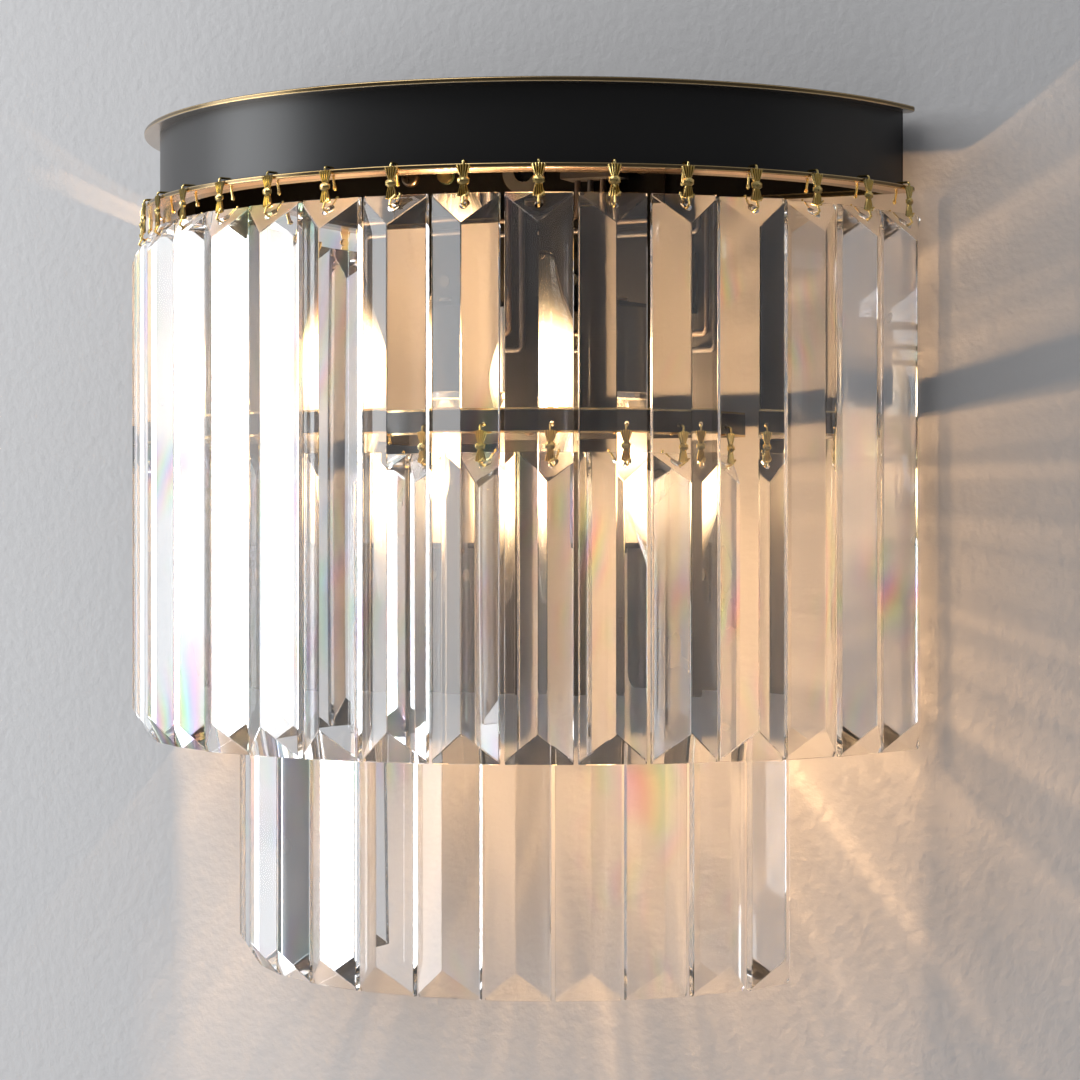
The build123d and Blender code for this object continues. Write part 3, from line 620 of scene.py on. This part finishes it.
# ------------------------------------------------------------ filaments
def filament_set(name, base, direction):
    """A clear glass stem with four lit sticks on fine wires."""
    def at(x, y, z):
        return base + Vector((x, y, direction * z))

    # height and radius along the stem
    stem = ((27.5, 3.9), (31, 3.6), (36, 2.3), (41, 1.7), (45.5, 1.5), (47, 0.6))
    bm = bmesh.new()
    tube(bm, [at(0, 0, z * MM) for z, r in stem], MM, sides=16, taper=[r for z, r in stem])
    glass = mesh_object(name + "_stem", bm, MATS["bulb_glass"], smooth=True)
    bm = bmesh.new()
    wires = bmesh.new()
    sticks, steps = 4, 9
    low, high, tip, circle = 43.5 * MM, 69.5 * MM, 71.2 * MM, 4.6 * MM
    for k in range(sticks):
        w = 2 * math.pi * (k + 0.5) / sticks
        x, y = circle * math.cos(w), circle * math.sin(w)
        points = [at(x, y, low + (high - low) * i / steps) for i in range(steps + 1)]
        tube(bm, points, 0.8 * MM, sides=8)
        tube(wires, [at(x * 0.25, y * 0.25, low), points[0]], 0.2 * MM, sides=6)
        tube(wires, [points[-1], at(0, 0, tip)], 0.2 * MM, sides=6)
    lit = mesh_object(name + "_lit", bm, MATS["filament"])
    leads = mesh_object(name + "_leads", wires, MATS["cap_metal"])
    for obj, slot_name in ((glass, "bulb_glass"), (lit, "filament"), (leads, "cap_metal")):
        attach(obj, "sconce")
        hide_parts("bulb_filaments")


filament_set("upper_filament", UPPER_LAMP, 1)
filament_set("lower_filament", LOWER_LAMP, -1)


# ------------------------------------------------------------ stage
def stage_plane(name, corners, material):
    bm = bmesh.new()
    bm.faces.new([bm.verts.new(c) for c in corners])
    mesh_object(name, bm, material)


def wall_material():
    """Pale painted plaster with a faint roller texture, which isn't seen from behind."""
    t = Tree("stage_wall")
    grain = t.noise(220.0, 5.0)
    broad = t.noise(4.0, 3.0)
    b = t.new("BsdfPrincipled", Roughness=0.75)
    t.put(b, "Base Color", t.mix(broad, rgb(0.60, 0.60, 0.61), rgb(0.66, 0.66, 0.665)))
    t.put(b, "Normal", t.bump(grain, 0.35, 0.9 * MM))
    # short rays pass too, so that the sconce's back, which is so close to the wall, is lit
    behind = t.new("NewGeometry").outputs["Backfacing"]
    close = t.math("LESS_THAN", t.new("LightPath").outputs["Ray Length"], 3 * MM)
    return t.finish(t.over(t.new("BsdfTransparent"), b, t.math("MAXIMUM", behind, close)))


wall = wall_material()
HALF_ROOM = 2.6
WALL_Y = 0.4 * MM
FLOOR_Z = -1.3
CEILING_Z = 1.9
low_left, low_right = (-HALF_ROOM, WALL_Y, FLOOR_Z), (HALF_ROOM, WALL_Y, FLOOR_Z)
high_left, high_right = (-HALF_ROOM, WALL_Y, CEILING_Z), (HALF_ROOM, WALL_Y, CEILING_Z)
near_left, near_right = (-HALF_ROOM, -4.0, FLOOR_Z), (HALF_ROOM, -4.0, FLOOR_Z)
stage_plane("stage_wall", [low_left, low_right, high_right, high_left], wall)
stage_plane("stage_floor", [near_left, near_right, low_right, low_left], wall)


# ------------------------------------------------------------ lights
def area(name, place, target, size, power, colour):
    """A rectangular soft light turned to its target."""
    data = bpy.data.lights.new(name, "AREA")
    data.shape = "RECTANGLE"
    data.size, data.size_y = size
    data.energy = power
    data.color = colour
    obj = bpy.data.objects.new(name, data)
    obj.location = place
    obj.rotation_euler = (Vector(target) - Vector(place)).to_track_quat("-Z", "Y").to_euler()
    scene.collection.objects.link(obj)


def bulb_light(name, place, power, seed, left):
    """A lit filament; the crystal edges split its light into streaks that fan out over the wall.

    left is how bright it is towards the window, where 1 is as bright as to the other side.
    """
    data = bpy.data.lights.new(name, "POINT")
    data.energy = power
    data.color = (1.0, 0.60, 0.30)
    data.shadow_soft_size = 0.003
    data.use_nodes = True
    tree = data.node_tree
    n, l = tree.nodes, tree.links
    n.clear()

    def math_node(op, *values):
        node = n.new("ShaderNodeMath")
        node.operation = op
        for socket, value in zip(node.inputs, values):
            if isinstance(value, bpy.types.NodeSocket):
                l.new(value, socket)
            else:
                socket.default_value = value
        return node.outputs[0]

    def smooth_range(value, from_low, from_high, to_low=0.0, to_high=1.0):
        node = n.new("ShaderNodeMapRange")
        node.interpolation_type = "SMOOTHSTEP"
        l.new(value, node.inputs[0])
        for index, limit in enumerate((from_low, from_high, to_low, to_high), 1):
            node.inputs[index].default_value = limit
        return node.outputs[0]

    way = n.new("ShaderNodeTexCoord").outputs["Normal"]
    axes = n.new("ShaderNodeSeparateXYZ")
    l.new(way, axes.inputs[0])
    angle = math_node("ARCTAN2", axes.outputs[2], axes.outputs[0])
    level = None
    # three widths of streak, each from a noise along the angle: scale, dark below, full above
    for scale, low, high in ((11.0, 0.45, 0.75), (37.0, 0.50, 0.68), (95.0, 0.50, 0.70)):
        noise = n.new("ShaderNodeTexNoise")
        noise.noise_dimensions = "2D"
        noise.inputs["Scale"].default_value = scale
        noise.inputs["Detail"].default_value = 1.0
        spot = n.new("ShaderNodeCombineXYZ")
        l.new(angle, spot.inputs[0])
        spot.inputs[1].default_value = seed
        l.new(spot.outputs[0], noise.inputs["Vector"])
        ridge = smooth_range(noise.outputs[0], low, high)
        level = ridge if level is None else math_node("ADD", level, ridge)
    side = smooth_range(axes.outputs[0], -0.75, 0.1, left, 1.0)
    # less of the light goes up, where the drum and the rings are
    rise = smooth_range(axes.outputs[2], -0.85, 0.1, 1.0, 0.5)
    glow = n.new("ShaderNodeEmission")
    pattern = math_node("MULTIPLY_ADD", level, 0.50, 0.65)
    masks = math_node("MULTIPLY", side, rise)
    l.new(math_node("MULTIPLY", pattern, masks), glow.inputs["Strength"])
    out = n.new("ShaderNodeOutputLight")
    l.new(glow.outputs[0], out.inputs[0])
    obj = bpy.data.objects.new(name, data)
    obj.location = place
    scene.collection.objects.link(obj)


area("window_left", place=(-1.5, -0.68, 0.05), target=(0, -0.1, -0.12), size=(0.9, 2.3),
     power=32.0, colour=(0.96, 0.98, 1.0))
area("soft_top", place=(-0.5, -1.1, 1.4), target=(0, 0, -0.1), size=(1.6, 1.0),
     power=11.0, colour=(1.0, 0.98, 0.96))
to_filament = Vector((0, 0, FILAMENT_H))
bulb_light("upper_glow", UPPER_LAMP + to_filament, power=3.4, seed=0.0, left=2.0)
bulb_light("lower_glow", LOWER_LAMP - to_filament, power=5.0, seed=7.0, left=0.9)

world = bpy.data.worlds.new("room")
scene.world = world
world.use_nodes = True
wn, wl = world.node_tree.nodes, world.node_tree.links
wn.clear()
coord = wn.new("ShaderNodeTexCoord")
split = wn.new("ShaderNodeSeparateXYZ")
wl.new(coord.outputs["Generated"], split.inputs[0])
# a little brighter above than below
ramp = wn.new("ShaderNodeValToRGB")
ramp.color_ramp.elements[0].position = 0.30
ramp.color_ramp.elements[0].color = (0.36, 0.36, 0.37, 1)
ramp.color_ramp.elements[1].position = 0.75
ramp.color_ramp.elements[1].color = (0.5, 0.5, 0.52, 1)
lift = wn.new("ShaderNodeMath")
lift.operation = "MULTIPLY_ADD"
lift.inputs[1].default_value = 0.5
lift.inputs[2].default_value = 0.5
wl.new(split.outputs[2], lift.inputs[0])
wl.new(lift.outputs[0], ramp.inputs[0])
back = wn.new("ShaderNodeBackground")
wl.new(ramp.outputs[0], back.inputs[0])
back.inputs[1].default_value = 0.42
world_out = wn.new("ShaderNodeOutputWorld")
wl.new(back.outputs[0], world_out.inputs[0])

scene.view_settings.view_transform = "Standard"
scene.cycles.max_bounces = 24
scene.cycles.transmission_bounces = 20
scene.cycles.transparent_max_bounces = 24
scene.cycles.caustics_reflective = False
scene.cycles.caustics_refractive = False

# ------------------------------------------------------------ camera
# solved from the photograph for a lens without shift
camera_data = bpy.data.cameras.new("camera")
camera_data.sensor_width = 36.0
camera_data.lens = 95.8
camera_data.clip_start = 0.01
camera = bpy.data.objects.new("camera", camera_data)
camera.location = (0.4463, -0.9564, -0.1317)
camera.rotation_euler = (math.radians(90 - 0.156), 0.0, math.radians(24.875))
scene.collection.objects.link(camera)
scene.camera = camera
